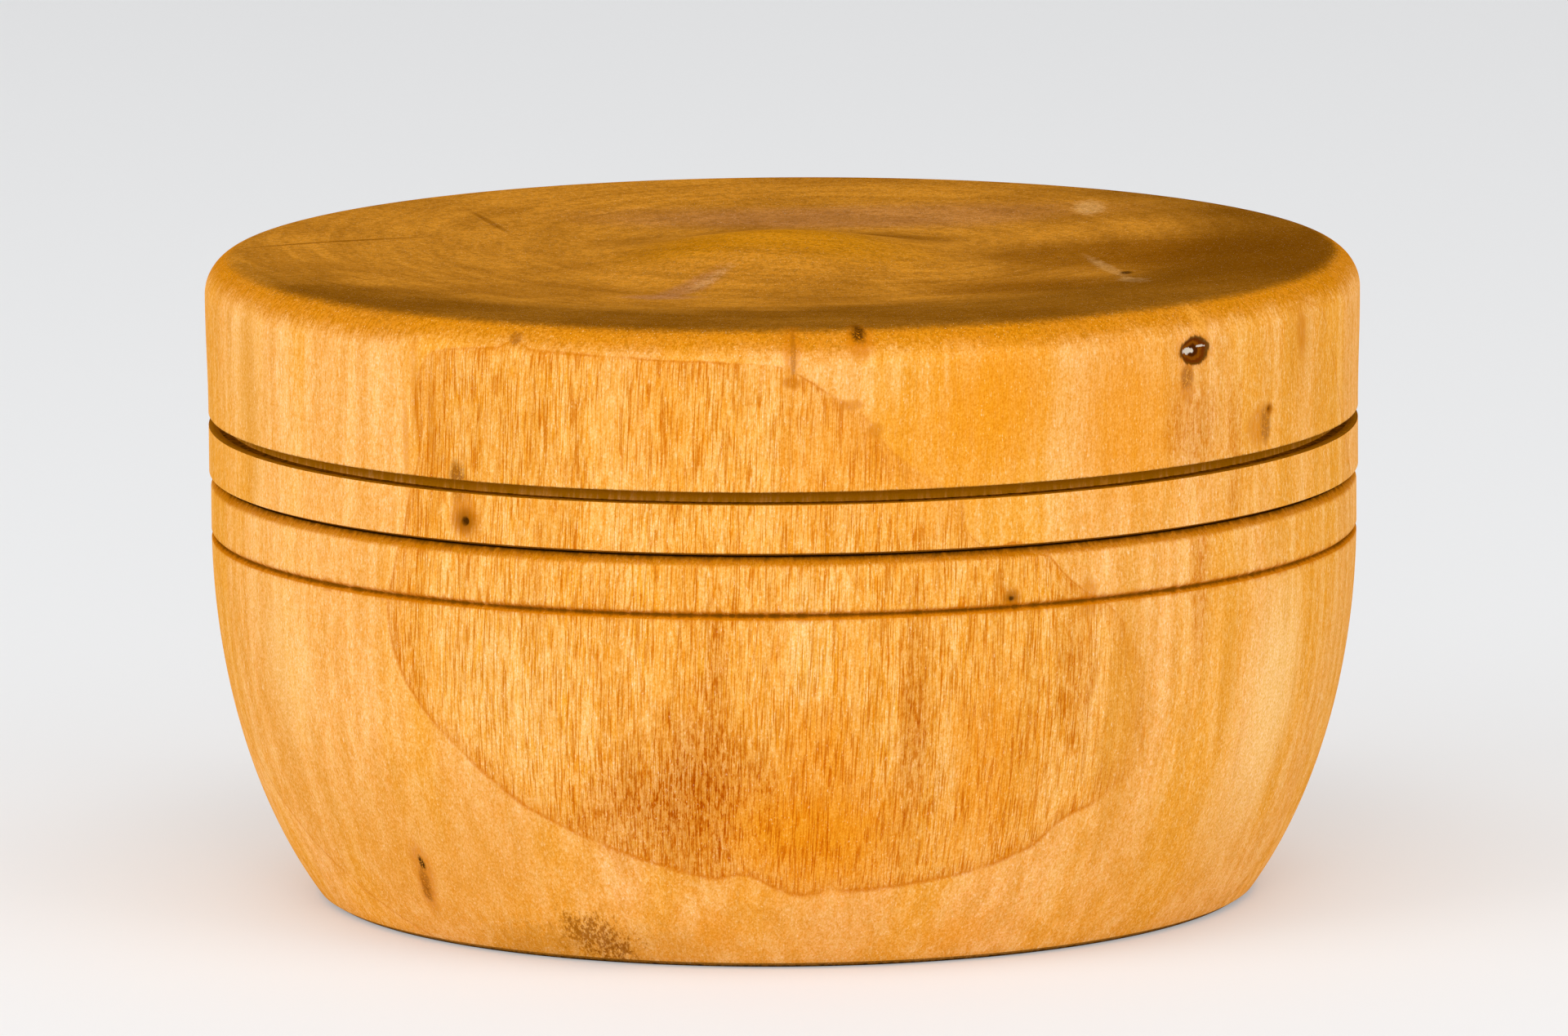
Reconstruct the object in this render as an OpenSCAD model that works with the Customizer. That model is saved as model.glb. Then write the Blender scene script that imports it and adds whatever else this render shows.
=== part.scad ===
// Turned wooden shaving bowl: a bowl, a lid that lifts off its raised lip, and a cake of soap.
// Origin: centre of the foot, on the surface that the bowl stands on. +Z is up, along the turning axis.

/* [Body] */
// Largest outer diameter, high on the side of the lid
body_d = 105; // [102:0.5:112]
// Height of the joint between the bowl and the lid
joint_z = 38.4; // [38:0.1:41]
// Height of the rim around the top of the lid
rim_z = 58.5; // [58:0.5:62]
// How much narrower the bottom edge of the lid is than its widest line, on each side
lid_taper = 0.2; // [0:0.05:0.4]
// Step in from the lid to the bowl at the joint, on each side
joint_step = 0.15; // [0:0.05:0.3]

/* [Belly] */
// Height where the belly stops curving and its side stands upright
belly_z = 34; // [33:0.5:35]
// Height of the ellipse whose quarter draws the belly
belly_curve_h = 43; // [40:0.5:48]
// Width of the ellipse whose quarter draws the belly
belly_curve_w = 25; // [18:0.5:26]

/* [Foot] */
// Chamfer around the outer edge of the foot
foot_chamfer = 0.4; // [0.2:0.1:1]
// Width of the ring that the bowl stands on
foot_ring_w = 7; // [5:0.5:10]
// Depth of the recess inside the foot ring
foot_recess = 1.2; // [0.8:0.1:2]

/* [Inside of the bowl] */
// Inner diameter of the mouth
mouth_d = 87; // [85:0.5:88]
// Thickness of the floor under the soap
floor_t = 8; // [6:0.5:9]
// Diameter of the seat that the soap fits
seat_d = 76.4; // [74:0.2:77]
// Height of the upright wall around the seat
seat_h = 8; // [6:0.5:10]
// Height of the curve that opens the seat out to the mouth
flare_h = 11; // [8:0.5:12]

/* [Joint of bowl and lid] */
// Outer diameter of the raised lip
lip_d = 94; // [93:0.5:95]
// Height of the raised lip above the joint
lip_h = 4.5; // [3:0.1:5]
// Radial clearance between the lip and the lid
lip_clearance = 0.15; // [0.1:0.05:0.3]
// Clearance above the lip when the lid is on
lip_headroom = 0.5; // [0.3:0.1:1]
// Chamfer on the outer edge at the top of the lip
lip_chamfer = 0.5; // [0.3:0.1:0.8]
// Radial depth of the vee that the two chamfered edges make at the joint
joint_vee_depth = 0.6; // [0.4:0.1:1]
// Height of the chamfer on the bowl's side of the joint
bowl_vee_h = 0.8; // [0.4:0.1:1.2]
// Height of the chamfer on the lid's side of the joint
lid_vee_h = 0.4; // [0.2:0.1:0.8]
// Height of the hairline gap that shows at the bottom of the vee
hairline_h = 0.15; // [0.1:0.05:0.3]
// Radial depth of the hairline gap
hairline_depth = 1.5; // [1:0.1:2]

/* [Turned grooves] */
// Height of the square groove's lower edge above the joint
slot_above_joint = 4.7; // [4.5:0.1:6]
// Height of the square groove
slot_h = 1.1; // [0.8:0.1:1.6]
// Depth of the square groove
slot_depth = 1.7; // [0.8:0.1:2]
// Distance of the lower vee groove's middle below the joint
vee_below_joint = 5.2; // [4.4:0.1:7]
// Height of the lower vee groove
vee_h = 0.75; // [0.5:0.05:1.2]
// Depth of the lower vee groove
vee_depth = 0.45; // [0.3:0.05:0.8]

/* [Top of the lid] */
// Radius of the rounded edge
edge_r = 3.5; // [2.5:0.1:4.5]
// Depth of the shallow dish below the rim
dish_depth = 1; // [0.6:0.1:1.5]
// Radius where the dish meets the rim
dish_r = 47; // [45:0.5:47]
// Radius of the low dome in the middle
dome_r = 22; // [16:0.5:26]
// Height of the dome above the bottom of the dish
dome_h = 2.4; // [1:0.1:3]

/* [Inside of the lid] */
// Diameter of the hollow above the lip
hollow_d = 86; // [84:0.5:88]
// Thickness of the top at the bottom of the dish
top_t = 5; // [4:0.5:6]
// Radius of the curve between the wall and the ceiling of the hollow
hollow_curve = 5; // [3:0.5:6]

/* [Soap] */
// Diameter of the cake of soap
soap_d = 76; // [72:0.5:76]
// Height of the cake of soap
soap_h = 20; // [14:0.5:22]
// Radius of the worn edge around the top of the soap
soap_edge_r = 2.5; // [1.5:0.1:3.5]
// Depth of the hollow that the brush has worn in the soap
soap_wear = 1.2; // [0:0.1:2]

/* [Hidden] */
wood = [0.84, 0.57, 0.27];
soap_cream = [0.94, 0.91, 0.81];
$fn = 128;
curve_steps = 24;
overcut = 1;
body_r = body_d / 2;
lid_edge_r = body_r - lid_taper;
bowl_edge_r = lid_edge_r - joint_step;
foot_r = belly_radius(0);
lip_r = lip_d / 2;
rebate_r = lip_r + lip_clearance;
rebate_top_z = joint_z + lip_h + lip_headroom;
seat_r = seat_d / 2;
mouth_r = mouth_d / 2;
hollow_r = hollow_d / 2;
edge_z = rim_z - edge_r;
dish_z = rim_z - dish_depth;
ceiling_z = dish_z - top_t;
slot_z = joint_z + slot_above_joint;
vee_z = joint_z - vee_below_joint;
soap_r = soap_d / 2;
soap_top_z = floor_t + soap_h;

// Evenly spaced values from one end to the other, both included
function steps(from, to, count = curve_steps) = [for (i = [0 : count]) from + (to - from) * i / count];

// Smooth change from 0 at t = 0 to 1 at t = 1, level at both ends
function ease(t) = (1 - cos(180 * t)) / 2;

// Points of an arc, with its angles in degrees from the X axis
function arc(centre, radius, from, to) =
    [for (a = steps(from, to)) centre + radius * [cos(a), sin(a)]];

// Outer radius of the bowl, a quarter ellipse below belly_z
function belly_radius(z) =
    bowl_edge_r - belly_curve_w * (1 - sqrt(1 - pow((belly_z - z) / belly_curve_h, 2)));

// Height of the lid's top at a distance from the axis
function top_height(r) =
    r < dome_r ? dish_z + dome_h * ease(1 - r / dome_r)
               : dish_z + dish_depth * ease((r - dome_r) / (dish_r - dome_r));

// Height of the soap's worn top at a distance from the axis
function soap_height(r) = soap_top_z - soap_wear * ease(1 - r / (soap_r - soap_edge_r));

// Half section of a vee groove cut into a wall
module vee_section(wall_r, z, height, depth) {
    polygon([
        [wall_r - depth, z],
        [wall_r + overcut, z - height * (depth + overcut) / depth / 2],
        [wall_r + overcut, z + height * (depth + overcut) / depth / 2]
    ]);
}

// Half section of the bowl before it is hollowed: foot, belly, shoulder and lip
module bowl_outline() {
    polygon(concat(
        [[0, 0], [foot_r - foot_chamfer, 0]],
        [for (z = steps(foot_chamfer, belly_z)) [belly_radius(z), z]],
        [
            [bowl_edge_r, joint_z - bowl_vee_h],
            [bowl_edge_r - joint_vee_depth, joint_z],
            [lip_r, joint_z],
            [lip_r, joint_z + lip_h - lip_chamfer],
            [lip_r - lip_chamfer, joint_z + lip_h],
            [0, joint_z + lip_h]
        ]
    ));
}

// Half section of the space inside the bowl: the soap's seat, the flare and the mouth
module bowl_inside() {
    polygon(concat(
        [[0, floor_t], [seat_r, floor_t]],
        [for (t = steps(0, 1)) [seat_r + (mouth_r - seat_r) * ease(t), floor_t + seat_h + flare_h * t]],
        [[mouth_r, joint_z + lip_h + overcut], [0, joint_z + lip_h + overcut]]
    ));
}

// Half section of the lid before it is hollowed: side, rounded edge, dish and dome
module lid_outline() {
    polygon(concat(
        [
            [0, joint_z],
            [lid_edge_r - joint_vee_depth, joint_z],
            [lid_edge_r, joint_z + lid_vee_h]
        ],
        arc([body_r - edge_r, edge_z], edge_r, 0, 90),
        [for (r = steps(dish_r, dome_r)) [r, top_height(r)]],
        [for (r = steps(dome_r * (1 - 1 / curve_steps), 0)) [r, top_height(r)]]
    ));
}

// Half section of the space inside the lid: the rebate for the lip and the hollow above it
module lid_inside() {
    translate([0, joint_z - overcut]) square([rebate_r, rebate_top_z - joint_z + overcut]);
    polygon(concat(
        [[0, joint_z], [hollow_r, joint_z]],
        arc([hollow_r - hollow_curve, ceiling_z - hollow_curve], hollow_curve, 0, 90),
        [[0, ceiling_z]]
    ));
}

// Shallow step in the lid's bottom edge that leaves a hairline gap at the joint
module hairline_gap() {
    inner_r = lid_edge_r - joint_vee_depth - hairline_depth;
    translate([inner_r, joint_z - overcut]) square([body_r, overcut + hairline_h]);
}

module bowl() {
    color(wood) rotate_extrude() difference() {
        bowl_outline();
        bowl_inside();
        translate([0, -overcut]) square([foot_r - foot_ring_w, overcut + foot_recess]);
        vee_section(bowl_edge_r, vee_z, vee_h, vee_depth);
    }
}

module lid() {
    color(wood) rotate_extrude() difference() {
        lid_outline();
        lid_inside();
        hairline_gap();
        translate([lid_edge_r - slot_depth, slot_z]) square([slot_depth + overcut, slot_h]);
    }
}

module soap_puck() {
    color(soap_cream) rotate_extrude() polygon(concat(
        [[0, floor_t], [soap_r, floor_t]],
        arc([soap_r - soap_edge_r, soap_top_z - soap_edge_r], soap_edge_r, 0, 90),
        [for (r = steps((soap_r - soap_edge_r) * (1 - 1 / curve_steps), 0)) [r, soap_height(r)]]
    ));
}

bowl();
lid();
soap_puck();
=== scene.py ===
"""Looks of a turned wooden shaving bowl: the bowl, its lid and the cake of soap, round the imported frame.

Lengths are in millimetres until a mesh is made, because a turner's drawing is. Azimuth 0 faces the camera
(-Y) and grows towards +X. Heights are above the surface that the bowl stands on.
"""
import math

import bpy
from mathutils import Matrix, Vector


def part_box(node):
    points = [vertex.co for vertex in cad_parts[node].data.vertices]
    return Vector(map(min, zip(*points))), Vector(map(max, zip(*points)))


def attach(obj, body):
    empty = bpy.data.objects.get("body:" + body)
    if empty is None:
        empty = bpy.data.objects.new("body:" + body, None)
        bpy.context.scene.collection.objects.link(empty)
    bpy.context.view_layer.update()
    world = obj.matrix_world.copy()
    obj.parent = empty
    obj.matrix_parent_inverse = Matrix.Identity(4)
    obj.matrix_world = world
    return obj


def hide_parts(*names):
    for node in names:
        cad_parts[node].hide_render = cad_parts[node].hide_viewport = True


MM = 0.001

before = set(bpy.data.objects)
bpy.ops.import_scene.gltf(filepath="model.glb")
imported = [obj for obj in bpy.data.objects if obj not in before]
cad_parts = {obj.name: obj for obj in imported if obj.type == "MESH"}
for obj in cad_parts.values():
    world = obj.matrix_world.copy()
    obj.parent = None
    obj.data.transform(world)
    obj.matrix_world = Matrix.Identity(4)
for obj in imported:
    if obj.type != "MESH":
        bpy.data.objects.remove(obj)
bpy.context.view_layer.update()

# ---------------------------------------------------------------- sizes, from the frame and the design
BOWL_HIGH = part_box("bowl")[1] / MM
LID_LOW, LID_HIGH = (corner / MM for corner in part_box("lid"))
SOAP_LOW, SOAP_HIGH = (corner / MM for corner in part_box("soap_puck"))

BELLY_Z, BELLY_CURVE_H, BELLY_CURVE_W = 34.0, 43.0, 25.0
BOWL_R = BOWL_HIGH.x
JOINT_Z = LID_LOW.z
LIP_TOP = BOWL_HIGH.z
LIP_R, MOUTH_R, SEAT_R = 47.0, 43.5, 38.2
FLOOR_Z = SOAP_LOW.z
SEAT_TOP, FLARE_TOP = FLOOR_Z + 8.0, FLOOR_Z + 19.0
# Everything further out than this is the outer wall.
OUTER_WALL_R = LIP_R + 2
FOOT_RING_W, FOOT_RECESS = 7.0, 1.2
VEE_Z, VEE_H, VEE_DEPTH = JOINT_Z - 5.2, 0.75, 0.45
JOINT_VEE_DEPTH, BOWL_VEE_H, LID_VEE_H = 0.6, 0.8, 0.4
HAIRLINE_H, HAIRLINE_DEPTH = 0.15, 1.5

LID_R = LID_HIGH.x
LID_TAPER = 0.2
LID_EDGE_R = LID_R - LID_TAPER
CROWN_RISE = 1.4
RIM_Z = LID_HIGH.z - CROWN_RISE
EDGE_R = 3.5
DISH_DEPTH, DISH_R, DOME_R, DOME_H = 1.0, 47.0, 22.0, 2.4
DISH_Z = RIM_Z - DISH_DEPTH
SLOT_Z, SLOT_H, SLOT_DEPTH = JOINT_Z + 4.7, 1.1, 1.7
LIP_CLEARANCE = 0.15
REBATE_R, REBATE_TOP = LIP_R + LIP_CLEARANCE, LIP_TOP + 0.5
HOLLOW_R, CEILING_Z, HOLLOW_CURVE = 43.0, DISH_Z - 5.0, 5.0

SOAP_R = SOAP_HIGH.x
SOAP_TOP = SOAP_HIGH.z
SOAP_EDGE_R, SOAP_WEAR = 2.5, 1.2

# ---------------------------------------------------------------- the wood
# The growth rings are cylinders round the pith, which leans as it rises. The fibres lean less.
PITH = (-2.6, 17.1)
PITH_LEAN = (0.112, -0.113)
RING_R = 63.3
FIBRE_LEAN = (0.04, -0.05)
RING_W = 8.9
# Wood lost between bowl and lid when the blank was parted, and how far the lid is turned from its place.
KERF = 3.1
LID_TURN = math.radians(1.3)


def belly_radius(z):
    """Outer radius of the bowl: a quarter ellipse below BELLY_Z, upright above it."""
    drop = max(BELLY_Z - z, 0) / BELLY_CURVE_H
    return BOWL_R - BELLY_CURVE_W * (1 - math.sqrt(1 - drop * drop))


def ease(t):
    """Smooth change from 0 at t = 0 to 1 at t = 1, level at both ends."""
    return (1 - math.cos(math.pi * min(max(t, 0), 1))) / 2


def top_height(r):
    """Height of the lid's top at a distance from the axis: a low dome in a shallow dish."""
    if r < DOME_R:
        return DISH_Z + DOME_H * ease(1 - r / DOME_R)
    return DISH_Z + DISH_DEPTH * ease((r - DOME_R) / (DISH_R - DOME_R))


def steps(start, end, count):
    """Evenly spaced values from start to end, both included."""
    return [start + (end - start) * i / count for i in range(count + 1)]


def arc(centre_r, centre_z, radius, start, end, count=10):
    """Points of an arc in the half section, with its angles in degrees from the outward direction."""
    angles = [math.radians(a) for a in steps(start, end, count)]
    return [(centre_r + radius * math.cos(a), centre_z + radius * math.sin(a)) for a in angles]


def rounded(corners, count=4):
    """Half section through (r, z, rounding) corners, each sharp corner eased by its own small curve."""
    points = []
    last = len(corners) - 1
    for i, (r, z, ease_by) in enumerate(corners):
        here = Vector((r, z))
        if ease_by == 0 or i in (0, last):
            points.append((r, z))
            continue
        before = Vector(corners[i - 1][:2]) - here
        after = Vector(corners[i + 1][:2]) - here
        reach = min(ease_by, before.length * 0.45, after.length * 0.45)
        start = here + before.normalized() * reach
        end = here + after.normalized() * reach
        for t in steps(0, 1, count):
            p = start * (1 - t) ** 2 + here * 2 * t * (1 - t) + end * t * t
            points.append((p.x, p.y))
    return points


def plain(points):
    """Marks points of a smooth stretch as needing no rounding."""
    return [(r, z, 0) for r, z in points]


def bowl_section():
    """Half section of the bowl, from the middle of its underside round to the middle of its floor."""
    foot_r = belly_radius(0)
    ring_r = foot_r - FOOT_RING_W
    belly = [(belly_radius(z), z) for z in steps(0.5, VEE_Z - VEE_H, 60)]
    flare = [(SEAT_R + (MOUTH_R - SEAT_R) * ease(t), SEAT_TOP + (FLARE_TOP - SEAT_TOP) * t)
             for t in steps(1, 0, 14)]
    return rounded(
        [(0, FOOT_RECESS, 0), (ring_r, FOOT_RECESS, 0.5), (ring_r, 0, 0.3), (foot_r - 0.45, 0, 0.15)]
        + plain(belly)
        + [
            (BOWL_R, VEE_Z - VEE_H / 2, 0.12),
            (BOWL_R - VEE_DEPTH, VEE_Z, 0.06),
            (BOWL_R, VEE_Z + VEE_H / 2, 0.12),
            (BOWL_R, JOINT_Z - BOWL_VEE_H, 0.25),
            (BOWL_R - JOINT_VEE_DEPTH, JOINT_Z, 0.06),
            (LIP_R, JOINT_Z, 0.1),
            (LIP_R, LIP_TOP - 0.5, 0.2),
            (LIP_R - 0.5, LIP_TOP, 0.2),
            (MOUTH_R, LIP_TOP, 0.5),
        ]
        + plain(flare)
        + [(SEAT_R, FLOOR_Z, 0.3), (0, FLOOR_Z, 0)]
    )


def lid_section():
    """Half section of the lid, from the middle of its ceiling out round its edge to the middle of its top."""
    hairline_r = LID_EDGE_R - JOINT_VEE_DEPTH
    side_low, side_high = SLOT_Z + SLOT_H, RIM_Z - EDGE_R
    side = [(LID_EDGE_R + LID_TAPER * ease(t), side_low + (side_high - side_low) * t)
            for t in steps(0.06, 1, 16)]
    edge = arc(LID_R - EDGE_R, RIM_Z - EDGE_R, EDGE_R, 4, 90, 20)
    top = [(r, top_height(r)) for r in steps(DISH_R, 0, 64)]
    hollow = arc(HOLLOW_R - HOLLOW_CURVE, CEILING_Z - HOLLOW_CURVE, HOLLOW_CURVE, 90, 0, 12)
    return rounded(
        [(0, CEILING_Z, 0)]
        + plain(hollow)
        + [
            (HOLLOW_R, REBATE_TOP, 0.3),
            (REBATE_R, REBATE_TOP, 0.2),
            (REBATE_R, JOINT_Z, 0.3),
            (hairline_r - HAIRLINE_DEPTH, JOINT_Z, 0),
            (hairline_r - HAIRLINE_DEPTH, JOINT_Z + HAIRLINE_H, 0),
            (hairline_r, JOINT_Z + HAIRLINE_H, 0.03),
            (LID_EDGE_R, JOINT_Z + LID_VEE_H, 0.1),
            (LID_EDGE_R, SLOT_Z, 0.06),
            (LID_EDGE_R - SLOT_DEPTH, SLOT_Z, 0.05),
            (LID_EDGE_R - SLOT_DEPTH, SLOT_Z + SLOT_H, 0.05),
            (LID_EDGE_R, SLOT_Z + SLOT_H, 0.08),
        ]
        + plain(side)
        + plain(edge)
        + plain(top)
    )


def soap_section():
    """Half section of the cake of soap, worn to a shallow hollow by the brush."""
    flat_r = SOAP_R - SOAP_EDGE_R
    worn = [(r, SOAP_TOP - SOAP_WEAR * ease(1 - r / flat_r)) for r in steps(flat_r, 0, 40)]
    edge = arc(flat_r, SOAP_TOP - SOAP_EDGE_R, SOAP_EDGE_R, 0, 90, 12)
    return rounded([(0, FLOOR_Z, 0), (SOAP_R, FLOOR_Z, 0.6)] + plain(edge) + plain(worn))


def refined(section, coarse, fine, fine_bands):
    """The section with no step longer than coarse, or fine inside one of the bands of height."""
    points = [section[0]]
    for a, b in zip(section, section[1:]):
        middle = (a[1] + b[1]) / 2
        outer = min(a[0], b[0]) > OUTER_WALL_R
        limit = fine if outer and any(lo < middle < hi for lo, hi in fine_bands) else coarse
        count = max(1, math.ceil(math.dist(a, b) / limit))
        points += [(a[0] + (b[0] - a[0]) * i / count, a[1] + (b[1] - a[1]) * i / count)
                   for i in range(1, count + 1)]
    return points


def lathe(name, section, azimuths):
    """A closed mesh turned from a half section whose ends lie on the axis."""
    rings = section[1:-1]
    columns = len(azimuths)
    verts = [(r * math.sin(a) * MM, -r * math.cos(a) * MM, z * MM) for r, z in rings for a in azimuths]
    faces = []
    for row in range(len(rings) - 1):
        for c in range(columns):
            d = (c + 1) % columns
            low, high = row * columns, (row + 1) * columns
            faces.append((low + c, low + d, high + d, high + c))
    for (r, z), row, flip in ((section[0], 0, True), (section[-1], len(rings) - 1, False)):
        pole = len(verts)
        verts.append((0, 0, z * MM))
        for c in range(columns):
            edge = (row * columns + c, row * columns + (c + 1) % columns)
            faces.append((edge[1], edge[0], pole) if flip else (edge[0], edge[1], pole))
    mesh = bpy.data.meshes.new(name)
    mesh.from_pydata(verts, [], faces)
    mesh.validate()
    mesh.shade_smooth()
    piece = bpy.data.objects.new(name, mesh)
    bpy.context.scene.collection.objects.link(piece)
    return piece


# Hollows left by fallen pin knots: azimuth, height, half width, half height and depth.
BOWL_PITS = [(22.5, 34.0, 0.35, 0.4, 0.25), (-43.6, 8.2, 0.35, 0.5, 0.35)]
LID_PITS = [(44.0, 54.4, 1.75, 1.25, 0.7), (-32.5, 40.6, 0.4, 0.35, 0.3), (55.8, 47.9, 0.3, 0.35, 0.2)]
# A hollow with a half width over this keeps a stub of dead wood, sized as a share of its width and depth.
STUB_MIN_W, STUB_SIZE, STUB_HEIGHT = 1.0, 0.8, 0.7
# The mesh's columns all round, the extra ones across a pit, and their reach as a multiple of its half width.
COLUMNS, PIT_COLUMNS, PIT_MARGIN = 240, 28, 1.4
# The longest step between the mesh's rows, in the plain and at the height of a pit.
ROW_STEP, PIT_ROW_STEP = 1.0, 0.12


def azimuths(pits):
    """Directions of the mesh's columns: evenly spaced, and closer together across each pit."""
    angles = {i * 360 / COLUMNS - 180 for i in range(COLUMNS)}
    for azimuth, _, half_w, _, _ in pits:
        reach = math.degrees(half_w * PIT_MARGIN / LID_R)
        angles |= {round(azimuth + a, 3) for a in steps(-reach, reach, PIT_COLUMNS)}
    return [math.radians(a) for a in sorted(angles)]


def bands(pits):
    """Heights between which the mesh's rows are closer together."""
    return [(height - half_h * PIT_MARGIN, height + half_h * PIT_MARGIN)
            for _, height, _, half_h, _ in pits]


def press_pits(piece, pits):
    """Pushes the outer wall in at each pit."""
    for vertex in piece.data.vertices:
        here = vertex.co / MM
        radius = math.hypot(here.x, here.y)
        if radius < OUTER_WALL_R:
            continue
        angle = math.atan2(here.x, -here.y)
        for azimuth, height, half_w, half_h, depth in pits:
            across = (angle - math.radians(azimuth)) * radius / half_w
            away = math.hypot(across, (here.z - height) / half_h)
            if away >= 1:
                continue
            sink = depth * (1 - away ** 4) ** 2
            if half_w > STUB_MIN_W:
                sink *= 1 - STUB_HEIGHT * ease(1 - away / STUB_SIZE)
            vertex.co.x *= 1 - sink / radius
            vertex.co.y *= 1 - sink / radius


SWIRL_DEPTH = 0.11


def swirl_soap(piece):
    """Leaves the shallow swirls of a wet brush in the top of the soap."""
    for vertex in piece.data.vertices:
        here = vertex.co / MM
        radius = math.hypot(here.x, here.y)
        if here.z < SOAP_TOP - SOAP_WEAR - 0.1 or radius > SOAP_R - SOAP_EDGE_R:
            continue
        turn = math.atan2(here.x, -here.y)
        wave = math.sin(radius * 0.9 + turn * 2) + 0.6 * math.sin(radius * 1.7 - turn * 3 + 1)
        fade = ease(radius / 6) * ease((SOAP_R - SOAP_EDGE_R - radius) / 4)
        vertex.co.z -= (1.6 + wave) * SWIRL_DEPTH * fade * MM


def make_turned(name, section, pits):
    """A piece turned from its half section, with the pits of its pin knots."""
    piece = lathe(name, refined(section, ROW_STEP, PIT_ROW_STEP, bands(pits)), azimuths(pits))
    press_pits(piece, pits)
    return piece


bowl = make_turned("bowl_turned", bowl_section(), BOWL_PITS)
lid = make_turned("lid_turned", lid_section(), LID_PITS)
soap = make_turned("soap_cake", soap_section(), [])
swirl_soap(soap)

# ---------------------------------------------------------------- materials
class Field:
    """A number that varies over a surface: a shader node's output that can stand in a formula."""

    def __init__(self, tree, socket):
        self.tree = tree
        self.socket = socket

    def math(self, operation, *others):
        return self.tree.math(operation, self, *others)

    def __add__(self, other):
        return self.math("ADD", other)

    def __sub__(self, other):
        return self.math("SUBTRACT", other)

    def __rsub__(self, other):
        return self.tree.math("SUBTRACT", other, self)

    def __mul__(self, other):
        return self.math("MULTIPLY", other)

    def __truediv__(self, other):
        return self.math("DIVIDE", other)

    __radd__ = __add__
    __rmul__ = __mul__

    def between(self, low, high):
        """0 below low, 1 above high and smooth in between. With low above high it falls instead."""
        return self.tree.map_range(self, low, high)


class Tree:
    """Adds nodes to a new material and hands back their outputs."""

    def __init__(self, name):
        self.material = bpy.data.materials.new(name)
        self.material.use_nodes = True
        self.nodes = self.material.node_tree.nodes
        self.links = self.material.node_tree.links
        self.shader = self.nodes["Principled BSDF"]

    def feed(self, socket, value):
        if isinstance(value, Field):
            value = value.socket
        if isinstance(value, bpy.types.NodeSocket):
            self.links.new(value, socket)
        else:
            socket.default_value = value

    def node(self, kind, inputs, **settings):
        made = self.nodes.new(kind)
        for name, value in settings.items():
            setattr(made, name, value)
        for key, value in inputs.items():
            self.feed(made.inputs[key], value)
        return made

    def math(self, operation, *values):
        made = self.node("ShaderNodeMath", dict(enumerate(values)), operation=operation)
        return Field(self, made.outputs[0])

    def map_range(self, value, low, high, to_low=0.0, to_high=1.0):
        inputs = {"Value": value, "From Min": low, "From Max": high, "To Min": to_low, "To Max": to_high}
        if low > high:
            inputs.update({"From Min": high, "From Max": low, "To Min": to_high, "To Max": to_low})
        made = self.node("ShaderNodeMapRange", inputs, interpolation_type="SMOOTHSTEP")
        return Field(self, made.outputs[0])

    def parts(self, vector):
        made = self.node("ShaderNodeSeparateXYZ", {0: vector})
        return [Field(self, made.outputs[i]) for i in range(3)]

    def vector(self, x, y, z):
        return self.node("ShaderNodeCombineXYZ", {0: x, 1: y, 2: z}).outputs[0]

    def length(self, *values):
        squares = values[0] * values[0]
        for value in values[1:]:
            squares = squares + value * value
        return squares.math("SQRT")

    def noise(self, place, size, detail=2.0, roughness=0.5):
        """Cloudy noise from 0 to 1. place is (x, y, z) in mm and size the lump's size along each."""
        scaled = [p * (1 / s) for p, s in zip(place, size)]
        made = self.node("ShaderNodeTexNoise", {
            "Vector": self.vector(*scaled), "Scale": 1.0, "Detail": detail, "Roughness": roughness})
        return Field(self, made.outputs[0])

    def blend(self, amount, first, second, mode="MIX"):
        """A colour that goes from first to second as amount goes from 0 to 1."""
        made = self.nodes.new("ShaderNodeMix")
        made.data_type, made.blend_type, made.clamp_factor = "RGBA", mode, True
        self.feed(made.inputs[0], amount)
        self.feed(made.inputs[6], first)
        self.feed(made.inputs[7], second)
        return made.outputs[2]


def srgb(red, green, blue):
    """A colour as a screen shows it, 0 to 255, turned into the linear one that shaders use."""
    def linear(value):
        value /= 255
        return value / 12.92 if value <= 0.04045 else ((value + 0.055) / 1.055) ** 2.4
    return (linear(red), linear(green), linear(blue), 1)


PEACH = srgb(248, 180, 100)
GOLDEN = srgb(244, 170, 66)
STREAKY = srgb(252, 184, 92)
PALE = srgb(255, 206, 132)
ORANGE = srgb(238, 150, 24)
DEEP_ORANGE = srgb(200, 112, 2)
EDGE_ORANGE = srgb(212, 130, 4)
OCHRE = srgb(222, 148, 44)
OLIVE = srgb(172, 108, 12)
# What a vessel full of oil does to the colour round it: it takes out the blue first.
VESSEL = (0.88, 0.66, 0.1, 1)
DARK_VESSEL = (0.72, 0.46, 0.03, 1)
RING_LINE = srgb(210, 118, 12)
RED_BROWN = srgb(112, 48, 4)
DEEP_BROWN = srgb(144, 80, 6)
BURNT = srgb(128, 76, 4)
NEARLY_BLACK = srgb(40, 20, 4)
# A painted highlight: bright glints on the fibres.
PAINTED_GLINT = srgb(255, 226, 180)
# A painted highlight: the pale shine of glossy resin in a knot.
RESIN_GLINT = srgb(226, 214, 196)
SLOT_FLOOR = srgb(186, 118, 4)
END_LIGHT = srgb(212, 140, 40)
END_DARK = srgb(128, 72, 1)
# Painted sheen: the backdrop's reflection on the lid's top at a low angle.
PAINTED_END_SHEEN = srgb(182, 122, 74)
RIM_DARK = srgb(100, 56, 1)
DOME_GOLD = srgb(214, 138, 8)
# No gloss: at the camera's low angle any of it greys the lid's top.
WOOD_GLOSS = 0.0
SOAP_CREAM = srgb(243, 235, 212)
SOAP_DEEP = srgb(238, 224, 190)
LATHER = srgb(250, 248, 240)
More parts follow.
